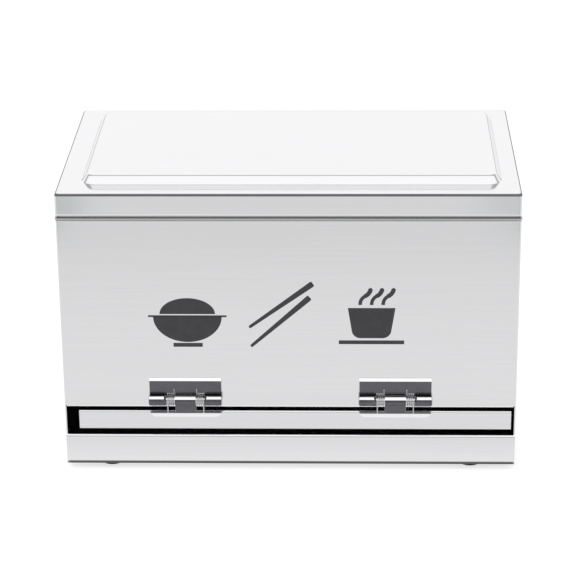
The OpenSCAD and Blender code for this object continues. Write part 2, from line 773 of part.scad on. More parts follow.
// Moves a shape from the underside of the base sheet's origin to each foot
module foot_places() {
    for (x = [-foot_x, foot_x], y = [foot_y0, foot_y1]) translate([x, y, base_z]) children();
}

// Rubber foot with a recess for the screw's head
module foot(x, y) {
    color(rubber) translate([x, y, 0]) difference() {
        rotate_extrude() polygon([
            [0, 0], [foot_d / 2 - foot_bevel, 0], [foot_d / 2, foot_bevel], [foot_d / 2, foot_h], [0, foot_h]
        ]);
        translate([0, 0, -cut]) cylinder(h = cut + screw_recess, r = screw_head_d / 2 + screw_head_gap);
        cylinder(h = foot_h + cut, r = screw_d / 2 + hole_gap);
    }
}

// Foot screws: head in the foot's recess, shank up through the base and the nut
module foot_screws() {
    tip_z = sheet_t + nut_h + screw_tip;
    color(spring_steel) foot_places() difference() {
        union() {
            translate([0, 0, screw_sink - foot_h]) cylinder(h = screw_head_h, r = screw_head_d / 2);
            translate([0, 0, screw_recess - foot_h])
                cylinder(h = foot_h - screw_recess + tip_z, r = screw_d / 2);
        }
        for (turn = [0, 90]) rotate([0, 0, turn]) translate([0, 0, screw_sink - foot_h])
            cube([screw_slot_l, screw_slot_w, 2 * screw_slot_w], center = true);
    }
}

module foot_nuts() {
    color(spring_steel) foot_places() translate([0, 0, sheet_t]) difference() {
        cylinder(h = nut_h, r = nut_af / sqrt(3), $fn = 6);
        translate([0, 0, -cut]) cylinder(h = nut_h + 2 * cut, r = screw_d / 2 + hole_gap);
    }
}

lid_shell();
rim_collar();
front_panel();
side_panel(-1);  // left_side_panel
side_panel(1);  // right_side_panel
back_panel();
bottom_pan();
slide_floor();
flap_panel();
flap_upper_leaf(-1);  // left_flap_upper_leaf
flap_lower_leaf(-1);  // left_flap_lower_leaf
flap_pin(-1);  // left_flap_pin
flap_spring(-1, -1);  // left_flap_outer_spring
flap_spring(-1, 1);  // left_flap_inner_spring
flap_upper_leaf(1);  // right_flap_upper_leaf
flap_lower_leaf(1);  // right_flap_lower_leaf
flap_pin(1);  // right_flap_pin
flap_spring(1, 1);  // right_flap_outer_spring
flap_spring(1, -1);  // right_flap_inner_spring
lid_hinge_body_leaf(-1);  // left_lid_hinge_body_leaf
lid_hinge_lid_leaf(-1);  // left_lid_hinge_lid_leaf
lid_hinge_pin(-1);  // left_lid_hinge_pin
lid_hinge_body_leaf(1);  // right_lid_hinge_body_leaf
lid_hinge_lid_leaf(1);  // right_lid_hinge_lid_leaf
lid_hinge_pin(1);  // right_lid_hinge_pin
body_leaf_rivets();
lid_leaf_rivets();
foot(-foot_x, foot_y0);  // front_left_foot
foot(foot_x, foot_y0);  // front_right_foot
foot(-foot_x, foot_y1);  // back_left_foot
foot(foot_x, foot_y1);  // back_right_foot
foot_screws();
foot_nuts();
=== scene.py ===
import math

import bmesh
import bpy
from mathutils import Matrix, Vector


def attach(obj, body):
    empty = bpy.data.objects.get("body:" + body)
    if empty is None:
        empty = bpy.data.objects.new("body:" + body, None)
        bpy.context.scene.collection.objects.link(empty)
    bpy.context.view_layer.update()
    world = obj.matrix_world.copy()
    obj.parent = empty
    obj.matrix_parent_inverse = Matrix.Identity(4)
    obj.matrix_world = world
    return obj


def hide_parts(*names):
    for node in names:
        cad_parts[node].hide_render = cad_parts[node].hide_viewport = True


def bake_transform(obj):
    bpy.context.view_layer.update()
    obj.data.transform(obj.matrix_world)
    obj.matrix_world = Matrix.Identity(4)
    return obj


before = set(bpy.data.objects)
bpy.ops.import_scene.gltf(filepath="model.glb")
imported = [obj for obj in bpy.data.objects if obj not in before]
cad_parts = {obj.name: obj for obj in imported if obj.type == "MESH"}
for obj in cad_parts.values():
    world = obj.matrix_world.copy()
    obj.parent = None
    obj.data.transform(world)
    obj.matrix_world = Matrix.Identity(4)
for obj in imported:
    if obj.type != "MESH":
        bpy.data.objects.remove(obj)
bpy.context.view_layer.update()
mm = 0.001
# how far past a line a corner may lie and still be picked, in millimetres
slack = 0.01


# camera: the photograph's place in millimetres and its turns in degrees, worked out from the box's edges
camera = {"place": (39.0, -1346.84, 644.4), "lens": 140.9, "yaw": -1.78, "pitch": 22.40, "roll": -0.60, "reach": 50}


def addCamera():
    yaw, pitch, roll = (math.radians(camera[turn]) for turn in ("yaw", "pitch", "roll"))
    ahead = Vector((math.sin(yaw) * math.cos(pitch), math.cos(yaw) * math.cos(pitch), -math.sin(pitch)))
    level = Vector((math.cos(yaw), -math.sin(yaw), 0))
    upright = level.cross(ahead)
    right = math.cos(roll) * level + math.sin(roll) * upright
    up = math.cos(roll) * upright - math.sin(roll) * level
    bpy.ops.object.camera_add()
    eye = bpy.context.object
    eye.name = "photoCamera"
    eye.data.lens = camera["lens"]
    eye.data.clip_end = camera["reach"]
    turned = Matrix((right, up, -ahead)).transposed().to_4x4()
    eye.matrix_world = Matrix.Translation(Vector(camera["place"]) * mm) @ turned
    bpy.context.scene.camera = eye


addCamera()
print("camera placed")


# small tools for materials and for picking parts of a mesh while it is edited
def colour(hexValue):
    parts = [int(hexValue[i:i + 2], 16) / 255 for i in (1, 3, 5)]
    return [c / 12.92 if c <= 0.04045 else ((c + 0.055) / 1.055) ** 2.4 for c in parts] + [1]


def addNode(tree, kind, sockets=None, **settings):
    node = tree.nodes.new(kind)
    for name, value in settings.items():
        setattr(node, name, value)
    for socket, value in (sockets or {}).items():
        if isinstance(value, bpy.types.NodeSocket):
            tree.links.new(value, node.inputs[socket])
        else:
            node.inputs[socket].default_value = value
    return node


def fillRamp(ramp, stops):
    while len(ramp.elements) > 1:
        ramp.elements.remove(ramp.elements[-1])
    ramp.elements[0].position = stops[0][0]
    ramp.elements[0].color = stops[0][1]
    for position, value in stops[1:]:
        ramp.elements.new(position).color = value


def newMaterial(name):
    material = bpy.data.materials.new(name)
    material.use_nodes = True
    tree = material.node_tree
    tree.nodes.clear()
    return material, tree


def only(piece):
    bpy.ops.object.select_all(action="DESELECT")
    piece.select_set(True)
    bpy.context.view_layer.objects.active = piece


def startShaping(piece):
    only(piece)
    bpy.ops.object.mode_set(mode="EDIT")


def stopShaping():
    bpy.ops.object.mode_set(mode="OBJECT")


# picks the vertices, edges or faces that lie wholly where test says, in millimetres, and face as facing says
def pick(kind, test, facing=None):
    bpy.ops.mesh.select_mode(type=kind)
    bpy.ops.mesh.select_all(action="DESELECT")
    data = bpy.context.edit_object.data
    shape = bmesh.from_edit_mesh(data)
    parts = {"VERT": shape.verts, "EDGE": shape.edges, "FACE": shape.faces}[kind]
    for part in parts:
        corners = [part] if kind == "VERT" else part.verts
        chosen = all(test(*(corner.co / mm)) for corner in corners)
        if chosen and facing:
            chosen = facing(part.normal)
        part.select_set(chosen)
    shape.select_flush_mode()
    bmesh.update_edit_mesh(data)


def near(a, b, within=0.02):
    return abs(a - b) < within


def moveBy(x, y, z):
    bpy.ops.transform.translate(value=(x * mm, y * mm, z * mm))


def pullOut(x, y, z):
    bpy.ops.mesh.extrude_region_move(TRANSFORM_OT_translate={"value": (x * mm, y * mm, z * mm)})


# the spin tool turns against the right-hand rule, so the angle is turned round here
def spinOn(degrees, steps, centre, axis=(1, 0, 0)):
    bpy.ops.mesh.spin(steps=steps, angle=math.radians(-degrees), center=[c * mm for c in centre], axis=axis)


# cuts the selected faces along a plane through centre
def cutAt(centre, axis, **settings):
    bpy.ops.mesh.bisect(plane_co=[c * mm for c in centre], plane_no=axis, **settings)


def selectWhole():
    bpy.ops.mesh.select_all(action="SELECT")


def mergeDoubles():
    selectWhole()
    bpy.ops.mesh.remove_doubles(threshold=slack * mm)


def paintSelected(piece, index):
    piece.active_material_index = index
    bpy.ops.object.material_slot_assign()


def modify(piece, kind, **settings):
    only(piece)
    modifier = piece.modifiers.new(kind.lower(), kind)
    for name, value in settings.items():
        setattr(modifier, name, value)
    bpy.ops.object.modifier_apply(modifier=modifier.name)


def softenEdges(piece, width, angle, material=-1):
    modify(piece, "BEVEL", width=width * mm, segments=3, limit_method="ANGLE",
           angle_limit=math.radians(angle), material=material, use_clamp_overlap=True)


def bakePlace(piece):
    only(piece)
    bpy.ops.object.transform_apply(location=True, rotation=True, scale=True)


# smooth bends, with the big flat faces kept truly flat
def smooth(piece, angle):
    only(piece)
    bpy.ops.object.shade_smooth_by_angle(angle=math.radians(angle))
    modify(piece, "WEIGHTED_NORMAL", mode="FACE_AREA", weight=100, keep_sharp=True)


def thicken(piece, sheet):
    modify(piece, "SOLIDIFY", thickness=sheet * mm, offset=-1, use_even_offset=True)


# a folded sheet gets its thickness, softened cut edges and smooth bends
def finishSheet(piece, sizes):
    thicken(piece, sizes["sheet"])
    softenEdges(piece, sizes["edge"], angle=60)
    smooth(piece, 25)


# flat rectangle in the plane of the front, facing the viewer
def addFrontPlane(name, x0, z0, x1, z1, y):
    bpy.ops.object.select_all(action="DESELECT")
    bpy.ops.mesh.primitive_plane_add(size=1, location=((x0 + x1) / 2 * mm, y * mm, (z0 + z1) / 2 * mm),
                                     rotation=(math.pi / 2, 0, 0))
    piece = bpy.context.object
    piece.name = name
    piece.scale = ((x1 - x0) * mm, (z1 - z0) * mm, 1)
    bakePlace(piece)
    return piece


def join(pieces, name):
    bpy.ops.object.select_all(action="DESELECT")
    for piece in pieces:
        piece.select_set(True)
    bpy.context.view_layer.objects.active = pieces[0]
    bpy.ops.object.join()
    pieces[0].name = name
    return pieces[0]


def copyOf(piece, name, x, y, z):
    only(piece)
    bpy.ops.object.duplicate()
    twin = bpy.context.object
    twin.name = name
    twin.location = (x * mm, y * mm, z * mm)
    bakePlace(twin)
    return twin


def dress(piece, *materials):
    piece.data.materials.clear()
    for material in materials:
        piece.data.materials.append(material)


def settle(piece, body, slot, *nodes):
    piece.data.name = piece.name
    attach(piece, body)
    if nodes:
        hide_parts(*nodes)


# stainless sheet, bright annealed and buffed along the width: nearly a mirror, faintly clouded, with hair lines
def makePolishedStainless():
    look = {"steel": "#EFEFF0", "dull": "#E7E7E9", "smooth": 0.09, "clouded": 0.17, "cloud": 55,
            "cloudRange": (0.35, 0.7), "hairLength": 90, "hairHeight": 1.1, "hairDepth": 0.004,
            "rippleLength": 90, "rippleDepth": 0.05}
    material, tree = newMaterial("polishedStainless")
    place = addNode(tree, "ShaderNodeTexCoord").outputs["Object"]
    cloud = addNode(tree, "ShaderNodeTexNoise", {"Vector": place, "Scale": 1000 / look["cloud"], "Detail": 4,
                                                 "Roughness": 0.6})
    # hair lines are really a tenth of this height: drawn coarse enough to show
    stretch = addNode(tree, "ShaderNodeMapping", {"Vector": place, "Scale": (
        1000 / look["hairLength"], 1000 / look["hairHeight"], 1000 / look["hairHeight"])})
    hair = addNode(tree, "ShaderNodeTexNoise", {"Vector": stretch.outputs[0], "Scale": 1, "Detail": 3,
                                                "Roughness": 0.7})
    ripple = addNode(tree, "ShaderNodeTexNoise", {"Vector": place, "Scale": 1000 / look["rippleLength"], "Detail": 0})
    tone = addNode(tree, "ShaderNodeMix", {0: hair.outputs[0], 6: colour(look["dull"]), 7: colour(look["steel"])},
                   data_type="RGBA")
    clear, cloudy = look["cloudRange"]
    gloss = addNode(tree, "ShaderNodeMapRange", {"Value": cloud.outputs[0], "From Min": clear, "From Max": cloudy,
                                                 "To Min": look["smooth"], "To Max": look["clouded"]})
    wave = addNode(tree, "ShaderNodeBump", {"Strength": 1, "Distance": look["rippleDepth"] * mm,
                                            "Height": ripple.outputs[0]})
    lines = addNode(tree, "ShaderNodeBump", {"Strength": 1, "Distance": look["hairDepth"] * mm,
                                             "Height": hair.outputs[0], "Normal": wave.outputs[0]})
    steel = addNode(tree, "ShaderNodeBsdfPrincipled", {"Base Color": tone.outputs[2], "Metallic": 1,
                                                       "Roughness": gloss.outputs[0], "Normal": lines.outputs[0]})
    addNode(tree, "ShaderNodeOutputMaterial", {"Surface": steel.outputs[0]})
    return material


# stainless sheet straight from the mill (2B): grey, matt, with a fine grain and rub marks where sticks roll
def makeMillStainless():
    look = {"steel": "#B4B5B4", "rubbed": "#C6C7C6", "matt": 0.42, "worn": 0.28, "grain": 2.2, "grainDepth": 0.01,
            "rub": 40, "rubLength": 250}
    material, tree = newMaterial("millStainless")
    place = addNode(tree, "ShaderNodeTexCoord").outputs["Object"]
    grain = addNode(tree, "ShaderNodeTexNoise", {"Vector": place, "Scale": 1000 / look["grain"], "Detail": 2})
    stretch = addNode(tree, "ShaderNodeMapping", {"Vector": place, "Scale": (
        1000 / look["rubLength"], 1000 / look["rub"], 1000 / look["rub"])})
    rub = addNode(tree, "ShaderNodeTexNoise", {"Vector": stretch.outputs[0], "Scale": 1, "Detail": 5})
    tone = addNode(tree, "ShaderNodeMix", {0: rub.outputs[0], 6: colour(look["steel"]), 7: colour(look["rubbed"])},
                   data_type="RGBA")
    gloss = addNode(tree, "ShaderNodeMapRange", {"Value": rub.outputs[0], "To Min": look["matt"],
                                                 "To Max": look["worn"]})
    bump = addNode(tree, "ShaderNodeBump", {"Strength": 0.6, "Distance": look["grainDepth"] * mm,
                                            "Height": grain.outputs[0]})
    steel = addNode(tree, "ShaderNodeBsdfPrincipled", {"Base Color": tone.outputs[2], "Metallic": 1,
                                                       "Roughness": gloss.outputs[0], "Normal": bump.outputs[0]})
    addNode(tree, "ShaderNodeOutputMaterial", {"Surface": steel.outputs[0]})
    return material


# one way of making the small metal parts: tone and gloss vary in soft spots, and the size of the marks along each
# axis makes them lines or specks
def makeSmallMetal(name, look):
    material, tree = newMaterial(name)
    place = addNode(tree, "ShaderNodeTexCoord").outputs["Object"]
    spots = addNode(tree, "ShaderNodeTexNoise", {"Vector": place, "Scale": 1000 / look["spot"], "Detail": 4,
                                                 "Roughness": 0.65})
    stretch = addNode(tree, "ShaderNodeMapping", {"Vector": place, "Scale": [1000 / size for size in look["marks"]]})
    marks = addNode(tree, "ShaderNodeTexNoise", {"Vector": stretch.outputs[0], "Scale": 1, "Detail": 2})
    tone = addNode(tree, "ShaderNodeMix", {0: spots.outputs[0], 6: colour(look["dark"]), 7: colour(look["light"])},
                   data_type="RGBA")
    gloss = addNode(tree, "ShaderNodeMapRange", {"Value": spots.outputs[0], "From Min": 0.3, "From Max": 0.7,
                                                 "To Min": look["smooth"], "To Max": look["rough"]})
    bump = addNode(tree, "ShaderNodeBump", {"Strength": 1, "Distance": look["depth"] * mm,
                                            "Height": marks.outputs[0]})
    metal = addNode(tree, "ShaderNodeBsdfPrincipled", {"Base Color": tone.outputs[2], "Metallic": 1,
                                                       "Roughness": gloss.outputs[0], "Normal": bump.outputs[0]})
    addNode(tree, "ShaderNodeOutputMaterial", {"Surface": metal.outputs[0]})
    return material


# moulded natural rubber: near black, slightly bloomed, with a fine spark-eroded grain
def makeFootRubber():
    look = {"black": "#1B1B1E", "bloomed": "#37373A", "matt": 0.62, "bloom": 6, "grain": 0.7, "grainDepth": 0.05}
    material, tree = newMaterial("mouldedRubber")
    place = addNode(tree, "ShaderNodeTexCoord").outputs["Object"]
    grain = addNode(tree, "ShaderNodeTexNoise", {"Vector": place, "Scale": 1000 / look["grain"], "Detail": 3})
    bloom = addNode(tree, "ShaderNodeTexNoise", {"Vector": place, "Scale": 1000 / look["bloom"], "Detail": 3})
    tone = addNode(tree, "ShaderNodeMix", {0: bloom.outputs[0], 6: colour(look["black"]), 7: colour(look["bloomed"])},
                   data_type="RGBA")
    bump = addNode(tree, "ShaderNodeBump", {"Strength": 0.5, "Distance": look["grainDepth"] * mm,
                                            "Height": grain.outputs[0]})
    rubber = addNode(tree, "ShaderNodeBsdfPrincipled", {"Base Color": tone.outputs[2], "Roughness": look["matt"],
                                                        "IOR": 1.52, "Normal": bump.outputs[0]})
    addNode(tree, "ShaderNodeOutputMaterial", {"Surface": rubber.outputs[0]})
    return material


# screen-printed enamel ink: dark grey, satin, slightly uneven where the mesh laid it down
def makeInk():
    look = {"thick": "#232326", "thin": "#37373A", "satin": 0.42, "cover": 5, "weave": 0.8, "weaveDepth": 0.01}
    material, tree = newMaterial("screenInk")
    place = addNode(tree, "ShaderNodeTexCoord").outputs["Object"]
    cover = addNode(tree, "ShaderNodeTexNoise", {"Vector": place, "Scale": 1000 / look["cover"], "Detail": 5,
                                                 "Roughness": 0.6})
    weave = addNode(tree, "ShaderNodeTexNoise", {"Vector": place, "Scale": 1000 / look["weave"], "Detail": 1})
    tone = addNode(tree, "ShaderNodeMix", {0: cover.outputs[0], 6: colour(look["thick"]), 7: colour(look["thin"])},
                   data_type="RGBA")
    bump = addNode(tree, "ShaderNodeBump", {"Strength": 0.3, "Distance": look["weaveDepth"] * mm,
                                            "Height": weave.outputs[0]})
    ink = addNode(tree, "ShaderNodeBsdfPrincipled", {"Base Color": tone.outputs[2], "Roughness": look["satin"],
                                                     "IOR": 1.5, "Normal": bump.outputs[0]})
    addNode(tree, "ShaderNodeOutputMaterial", {"Surface": ink.outputs[0]})
    return material


polishedStainless = makePolishedStainless()
millStainless = makeMillStainless()
# black-nickel plate on a pressed steel leaf: dark grey and glossy, with rolling marks along the hinge
blackNickel = makeSmallMetal("blackNickelPlate", {
    "dark": "#55555A", "light": "#75757A", "smooth": 0.2, "rough": 0.34,
    "spot": 7, "marks": (30, 0.8, 0.8), "depth": 0.006})
# the leaf's ground edges and the barrel's top and bottom: bright bare nickel, near white as a painted highlight
edgePaintedHighlight = makeSmallMetal("nickelEdgePaintedHighlight", {
    "dark": "#F4F4F6", "light": "#FDFDFE", "smooth": 0.08, "rough": 0.15,
    "spot": 5, "marks": (20, 0.7, 0.7), "depth": 0.003})
# the same sheet where it is drawn round an edge: duller and darker, a painted dark reflection, so the edge reads as a
# grey line
bendPaintedReflection = makeSmallMetal("stainlessBendPaintedReflection", {
    "dark": "#6C6C6E", "light": "#7E7E80", "smooth": 0.26, "rough": 0.36,
    "spot": 30, "marks": (40, 1, 1), "depth": 0.004})
# the sheet's rims: almost white, a painted highlight
rimPaintedHighlight = makeSmallMetal("stainlessRimPaintedHighlight", {
    "dark": "#F9F9FA", "light": "#FFFFFF", "smooth": 0.12, "rough": 0.2,
    "spot": 30, "marks": (40, 1, 1), "depth": 0.002})
# hard-drawn spring wire: bright, faintly mottled by the die
drawnWire = makeSmallMetal("drawnSpringWire", {
    "dark": "#B9B9BC", "light": "#D9D9DC", "smooth": 0.14, "rough": 0.24,
    "spot": 3, "marks": (1, 1, 1), "depth": 0.003})
# satin stainless hinge leaf: brushed across the hinge
satinStainless = makeSmallMetal("satinStainless", {
    "dark": "#C8C9C8", "light": "#DADBDA", "smooth": 0.26, "rough": 0.36,
    "spot": 12, "marks": (0.7, 20, 20), "depth": 0.004})
# turned bright steel of pins, rivets, screws and nuts
turnedSteel = makeSmallMetal("turnedSteel", {
    "dark": "#C2C2C4", "light": "#D8D8DA", "smooth": 0.18, "rough": 0.3,
    "spot": 2.5, "marks": (0.6, 0.6, 0.6), "depth": 0.003})
mouldedRubber = makeFootRubber()
screenInk = makeInk()
print("materials made")


# lid: one drawn sheet with a pressed panel on top; sizes in millimetres
lid = {"halfWidth": 140, "front": -82.7418, "back": 81.2582, "bottom": 169.6, "margin": 183.5, "sheet": 0.8,
       "left": 14, "right": 11, "frontMargin": 17, "backMargin": 15, "rise": 4.8, "run": 3.3, "cornerRadius": 9,
       "planRadius": 1.9, "bend": 1.3, "shoulder": 1, "foot": 0.35, "drawn": 10, "rim": 1.1, "flare": 0.3,
       "edge": 0.15}


def makeLid():
    x0, x1 = lid["left"] - lid["halfWidth"], lid["halfWidth"] - lid["right"]
    y0, y1 = lid["front"] + lid["frontMargin"], lid["back"] - lid["backMargin"]
    radius, plan = lid["cornerRadius"], lid["planRadius"]
    margin, top, low = lid["margin"], lid["margin"] + lid["rise"], lid["margin"] - lid["drawn"]
    bpy.ops.object.select_all(action="DESELECT")
    bpy.ops.mesh.primitive_plane_add(size=1, location=((x0 + x1) / 2 * mm, (y0 + y1) / 2 * mm, margin * mm))
    piece = bpy.context.object
    piece.name = "lid_cover"
    dress(piece, polishedStainless, bendPaintedReflection, rimPaintedHighlight)
    piece.scale = ((x1 - x0) * mm, (y1 - y0) * mm, 1)
    bakePlace(piece)
    startShaping(piece)
    # the pressed panel: corners rounded, then its sloping side drawn up
    pick("VERT", lambda x, y, z: True)
    bpy.ops.mesh.bevel(offset=radius * mm, segments=12, affect="VERTICES")
    bpy.ops.mesh.select_mode(type="FACE")
    selectWhole()
    bpy.ops.mesh.inset(thickness=lid["run"] * mm, depth=lid["rise"] * mm, use_even_offset=True)
    # the margin: the outline is drawn down, widened corner by corner, and lifted level again
    pick("EDGE", lambda x, y, z: near(z, margin))
    pullOut(0, 0, -lid["drawn"])
    for sideX, centreX in ((-1, x0 + radius), (1, x1 - radius)):
        for sideY, centreY in ((-1, y0 + radius), (1, y1 - radius)):
            pick("VERT", lambda x, y, z: near(z, low) and (x - centreX) * sideX > -slack
                 and (y - centreY) * sideY > -slack)
            bpy.ops.transform.resize(value=(plan / radius, plan / radius, 1),
                                     center_override=(centreX * mm, centreY * mm, low * mm))
            edgeY = lid["back"] if sideY > 0 else lid["front"]
            moveBy(sideX * (lid["halfWidth"] - plan) - centreX, edgeY - sideY * plan - centreY, 0)
    pick("EDGE", lambda x, y, z: near(z, low))
    moveBy(0, 0, lid["drawn"])
    pullOut(0, 0, lid["bottom"] - margin)
    # the bend all round the outline, the panel's shoulder and its foot
    pick("EDGE", lambda x, y, z: near(z, margin) and (abs(x) > lid["halfWidth"] - plan - slack
         or y < lid["front"] + plan + slack or y > lid["back"] - plan - slack))
    # the outline's bend takes the painted dark reflection
    bpy.ops.mesh.bevel(offset=lid["bend"] * mm, segments=8, affect="EDGES", clamp_overlap=False, material=1)
    pick("EDGE", lambda x, y, z: near(z, top))
    bpy.ops.mesh.bevel(offset=lid["shoulder"] * mm, segments=5, affect="EDGES", clamp_overlap=False)
    pick("EDGE", lambda x, y, z: near(z, margin) and x0 - slack < x < x1 + slack and y0 - slack < y < y1 + slack)
    bpy.ops.mesh.bevel(offset=lid["foot"] * mm, segments=4, affect="EDGES", clamp_overlap=False)
    # the skirt's lower rim gets a painted highlight and leans out a little
    rim = lid["bottom"] + lid["rim"]
    selectWhole()
    cutAt((0, 0, rim), (0, 0, 1))
    pick("FACE", lambda x, y, z: z < rim + slack)
    paintSelected(piece, 2)
    pick("VERT", lambda x, y, z: near(z, lid["bottom"]))
    halfDepth = (lid["back"] - lid["front"]) / 2
    bpy.ops.transform.resize(value=(1 + lid["flare"] / lid["halfWidth"], 1 + lid["flare"] / halfDepth, 1),
                             center_override=(0, (lid["front"] + lid["back"]) / 2 * mm, rim * mm))
    mergeDoubles()
    stopShaping()
    finishSheet(piece, lid)
    return piece


settle(makeLid(), "lid", "polished_sheet", "lid_shell")
print("lid made")


# front panel: one sheet with upright corner bends and a folded hem along its lower edge
panel = {"halfWidth": 140, "front": -82.7418, "bottom": 42.9, "top": 166.4, "sheet": 0.8, "corner": 1.5,
         "hemRadius": 1.25, "hemTurn": 200, "foldIn": 0.75, "foldRise": 3.2, "foldFlat": 3, "rim": 1.1, "flare": 0.06,
         "edge": 0.15}


def makeFrontPanel():
    flat = panel["halfWidth"] - panel["corner"]
    face, corner, roll = panel["front"], panel["corner"], panel["hemRadius"]
    low = panel["bottom"] + roll
    piece = addFrontPlane("front_sheet", -flat, low, flat, panel["top"], face)
    dress(piece, polishedStainless, rimPaintedHighlight)
    startShaping(piece)
    pick("EDGE", lambda x, y, z: near(x, flat))
    spinOn(90, steps=6, centre=(flat, face + corner, 0), axis=(0, 0, 1))
    pick("EDGE", lambda x, y, z: near(x, -flat))
    spinOn(-90, steps=6, centre=(-flat, face + corner, 0), axis=(0, 0, 1))
    pick("EDGE", lambda x, y, z: near(z, low) and abs(x) < flat + slack)
    spinOn(panel["hemTurn"], steps=14, centre=(0, face + roll, low))
    # the rolled hem gets a painted highlight, and the top rim leans out a little under the bead
    pick("FACE", lambda x, y, z: z < low + slack and y < face + roll)
    paintSelected(piece, 1)
    selectWhole()
    cutAt((0, 0, panel["top"] - panel["rim"]), (0, 0, 1))
    pick("VERT", lambda x, y, z: near(z, panel["top"]) and near(y, face))
    moveBy(0, -panel["flare"], 0)
    # the fold closes on the back of the face
    rollEnd = low + roll * math.sin(math.radians(panel["hemTurn"] - 180))
    pick("EDGE", lambda x, y, z: near(z, rollEnd, 0.05) and y > face + roll)
    pullOut(0, -panel["foldIn"], panel["foldRise"])
    pullOut(0, 0, panel["foldFlat"])
    mergeDoubles()
    stopShaping()
    finishSheet(piece, panel)
    return piece


settle(makeFrontPanel(), "body", "polished_sheet", "front_panel")
print("front panel made")


# flap: a narrow channel with its long edges turned back
flap = {"left": -131.2, "right": 137.2, "bottom": 27.8, "top": 40.6, "face": -82.8418, "depth": 5, "sheet": 0.8,
        "bend": 1.2, "edge": 0.15}


def makeFlap():
    bend, face = flap["bend"], flap["face"]
    piece = addFrontPlane("flap_plate", flap["left"], flap["bottom"] + bend, flap["right"], flap["top"] - bend, face)
    startShaping(piece)
    for level, turn in ((flap["bottom"] + bend, 90), (flap["top"] - bend, -90)):
        pick("EDGE", lambda x, y, z: near(z, level) and near(y, face))
        spinOn(turn, steps=6, centre=(0, face + bend, level))
        pullOut(0, flap["depth"] - bend, 0)
    mergeDoubles()
    stopShaping()
    finishSheet(piece, flap)
    dress(piece, polishedStainless)
    return piece


settle(makeFlap(), "flap", "polished_sheet", "flap_panel")
print("flap made")


# flap hinges: made once round the middle of the axis, then copied to both places
hinge = {"places": {"left": -64.4, "right": 65.4}, "axisY": -86.0418, "axisZ": 49.2, "width": 44.4, "bore": 2.15,
         "roll": 3.3, "turningRoll": 3.2, "curl": 296, "middle": 13, "window": 11.6625, "notch": 4.08,
         "upperReach": 13.9, "upperBevel": 1.75, "lowerTop": 8.8, "lowerReach": 12.8, "lowerBevel": 3, "clip": 2.6,
         "edgeThickness": 0.18, "edge": 0.14}
# how far up the barrel's normals point where its painted highlights lie, above and below
rubbed = ((0.55, 0.97), (-0.9, -0.75))


# painted highlights: the ground bevel between two heights, and the top and bottom of the barrel, painted bright
def paintHighlights(piece, low, high):
    pick("FACE", lambda x, y, z: low - slack < z < high + slack, lambda n: n.y < -0.5 and abs(n.z) > 0.1)
    paintSelected(piece, 1)
    for level, reach in rubbed:
        pick("FACE", lambda x, y, z: math.hypot(y, z) > hinge["bore"] + 0.5 and y < 1,
             lambda n: n.y < 0.2 and level < n.z < reach and abs(n.x) < 0.1)
        paintSelected(piece, 1)


# a flat leaf, begun as its rear face turned to the wall and cut across where its barrel's knuckles begin
def startLeaf(name, low, high, roll, cut):
    half = hinge["width"] / 2
    piece = addFrontPlane(name, -half, low, half, high, roll)
    dress(piece, blackNickel, edgePaintedHighlight)
    startShaping(piece)
    selectWhole()
    bpy.ops.mesh.flip_normals()
    for side in (-1, 1):
        selectWhole()
        cutAt((side * cut, 0, 0), (1, 0, 0))
    return piece


# merges the leaf, gives it its thickness and leaves it in edit mode
def thickenLeaf(piece, roll):
    mergeDoubles()
    stopShaping()
    thicken(piece, roll - hinge["bore"])
    startShaping(piece)


def finishLeaf(piece):
    # the softened edges take the painted highlight too
    softenEdges(piece, hinge["edge"], angle=32, material=1)
    smooth(piece, 22)


# spot welds of the upper leaf: shallow dents, each cut by a ball
weld = {"aside": 8.4, "height": 5.7, "ball": 6, "depth": 0.12}


def makeUpperLeaf():
    roll, bore, notch, window = (hinge[size] for size in ("roll", "bore", "notch", "window"))
    top, bevelFrom = hinge["upperReach"], hinge["upperReach"] - hinge["upperBevel"]
    piece = startLeaf("upperLeaf", notch, top, roll, window)
    for side in (-1, 1):
        pick("EDGE", lambda x, y, z: near(z, notch) and x * side > window - slack)
        pullOut(0, 0, -notch)
        spinOn(-hinge["curl"], steps=26, centre=(0, 0, 0))
    thickenLeaf(piece, roll)
    # the plate's top is ground back to a thin edge
    pick("FACE", lambda x, y, z: near(y, bore) and z > notch - slack, lambda n: n.y < -0.9)
    cutAt((0, 0, bevelFrom), (0, 0, 1))
    pick("VERT", lambda x, y, z: near(y, bore) and near(z, top))
    moveBy(0, roll - bore - hinge["edgeThickness"], 0)
    # the bevel and the barrel's top and bottom are painted bright as highlights
    paintHighlights(piece, bevelFrom, top)
    stopShaping()
    for side in (-1, 1):
        bpy.ops.object.select_all(action="DESELECT")
        place = (side * weld["aside"], bore + weld["depth"] - weld["ball"], weld["height"])
        bpy.ops.mesh.primitive_uv_sphere_add(segments=96, ring_count=48, radius=weld["ball"] * mm,
                                             location=[c * mm for c in place])
        ball = bpy.context.object
        bakePlace(ball)
        modify(piece, "BOOLEAN", object=ball, operation="DIFFERENCE", solver="EXACT")
        only(ball)
        bpy.ops.object.delete()
    finishLeaf(piece)
    return piece


